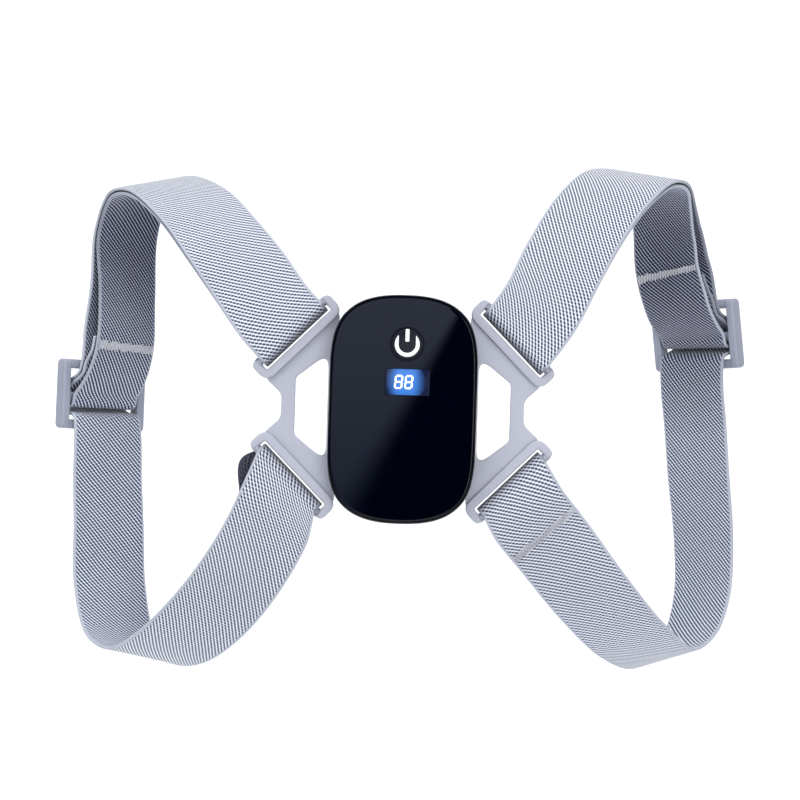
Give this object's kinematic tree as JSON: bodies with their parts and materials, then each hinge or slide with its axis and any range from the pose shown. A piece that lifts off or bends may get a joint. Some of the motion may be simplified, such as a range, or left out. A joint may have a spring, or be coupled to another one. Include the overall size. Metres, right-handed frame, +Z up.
{
  "type": "posture corrector",
  "caption": "Electronic posture corrector with a glossy back unit, a grey strap frame and two adjustable woven arm loops in their worn form",
  "frame": {"origin": "middle of the flat rear face of the frame's pad, which lies on the wearer's back", "axes": "+X towards the wearer's right arm, +Y from the unit towards the wearer's back, +Z up the back"},
  "size_m": [0.3308, 0.1274, 0.2423],
  "materials": {
    "shell_plastic": "gloss",
    "button_plastic": "gloss",
    "screen_lens": "gloss",
    "frame_plastic": "satin",
    "webbing": "matte"
  },
  "bodies": {
    "harness": {"back_frame": "frame_plastic", "housing": "shell_plastic", "display_window": "screen_lens", "strap_left": "webbing", "slider_left": "frame_plastic", "strap_right": "webbing", "slider_right": "frame_plastic"},
    "button": {"power_button": "button_plastic"}
  },
  "joints": [
    {"name": "power_button_press", "type": "slide", "parent": "harness", "child": "button", "axis": [0, 1, 0], "range_m": [0, 0.0007], "stiffness_N_per_m": 1500}
  ]
}
